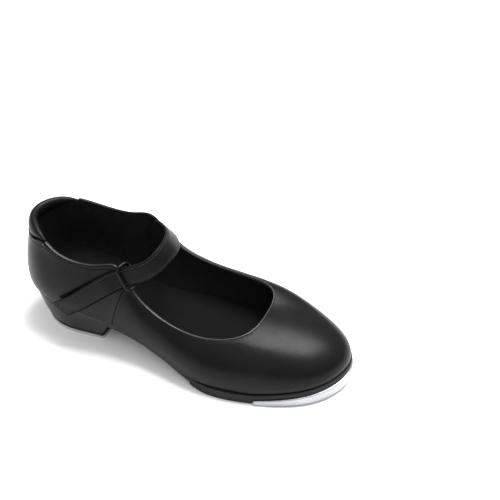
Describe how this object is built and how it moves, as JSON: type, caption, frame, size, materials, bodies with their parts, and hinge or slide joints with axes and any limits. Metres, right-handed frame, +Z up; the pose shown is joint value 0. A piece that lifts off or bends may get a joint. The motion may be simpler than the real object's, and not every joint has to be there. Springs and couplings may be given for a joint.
{
  "type": "tap shoe",
  "caption": "Low-heeled closed-toe dance shoe with aluminium taps under the toe and heel and an instep strap that closes through a ring.",
  "frame": {"origin": "on the ground face of the heel tap, on the shoe's long axis", "axes": "+X towards the toe, +Y towards the wearer's left (the medial side of this right shoe), +Z up"},
  "size_m": [0.2424, 0.0892, 0.0869],
  "materials": {
    "upper_leather": "black smooth coated leather, soft satin",
    "collar_leather": "black padded coated leather",
    "binding_leather": "black folded edge, glossier",
    "strap_leather": "black coated leather, edge stitched",
    "lining_fabric": "black brushed textile lining",
    "sock_fabric": "black foam-backed textile sock",
    "stiffener_board": "fibre board and thermoplastic stiffener",
    "filler_foam": "cork and foam filler",
    "bright_steel": "bright steel",
    "sole_rubber": "black outsole compound",
    "pad_rubber": "dark grey rubber",
    "tap_aluminium": "bright cast aluminium, polished rim",
    "heel_plastic": "black covered heel, satin",
    "fastener_tape": "black hook and loop tape",
    "ring_metal": "black gloss lacquered wire"
  },
  "bodies": {
    "root": {"vamp": "upper_leather", "quarter_lateral": "upper_leather", "quarter_medial": "upper_leather", "heel_collar_pad": "collar_leather", "topline_binding": "binding_leather", "vamp_lining": "lining_fabric", "quarter_lining": "lining_fabric", "toe_puff": "stiffener_board", "heel_counter": "stiffener_board", "strap_anchor_patch": "stiffener_board", "insole_board": "stiffener_board", "sock_liner": "sock_fabric", "bottom_filler": "filler_foam", "shank": "bright_steel", "outsole": "sole_rubber", "ball_pad": "pad_rubber", "toe_tap": "tap_aluminium", "toe_tap_screws": "bright_steel", "heel_block": "heel_plastic", "heel_lift": "pad_rubber", "heel_tap": "tap_aluminium", "heel_tap_screws": "bright_steel", "heel_screw": "bright_steel", "heel_nails": "bright_steel", "instep_strap": "strap_leather", "instep_strap_lining": "lining_fabric", "loop_patch": "fastener_tape", "ring_keeper": "strap_leather"},
    "ring_body": {"ring": "ring_metal"},
    "strap_end_body": {"strap_end": "strap_leather", "strap_end_lining": "lining_fabric", "hook_patch": "fastener_tape"}
  },
  "joints": [
    {"name": "ring_swing", "type": "hinge", "parent": "root", "child": "ring_body", "pos_m": [0.0545, -0.0204, 0.071], "axis": [-0.4794, 0.1035, 0.8715], "range_deg": [0, 12]},
    {"name": "strap_end_peel", "type": "hinge", "parent": "root", "child": "strap_end_body", "pos_m": [0.0506, -0.0292, 0.0699], "axis": [-0.4794, 0.1035, 0.8715], "range_deg": [0, 100]}
  ]
}
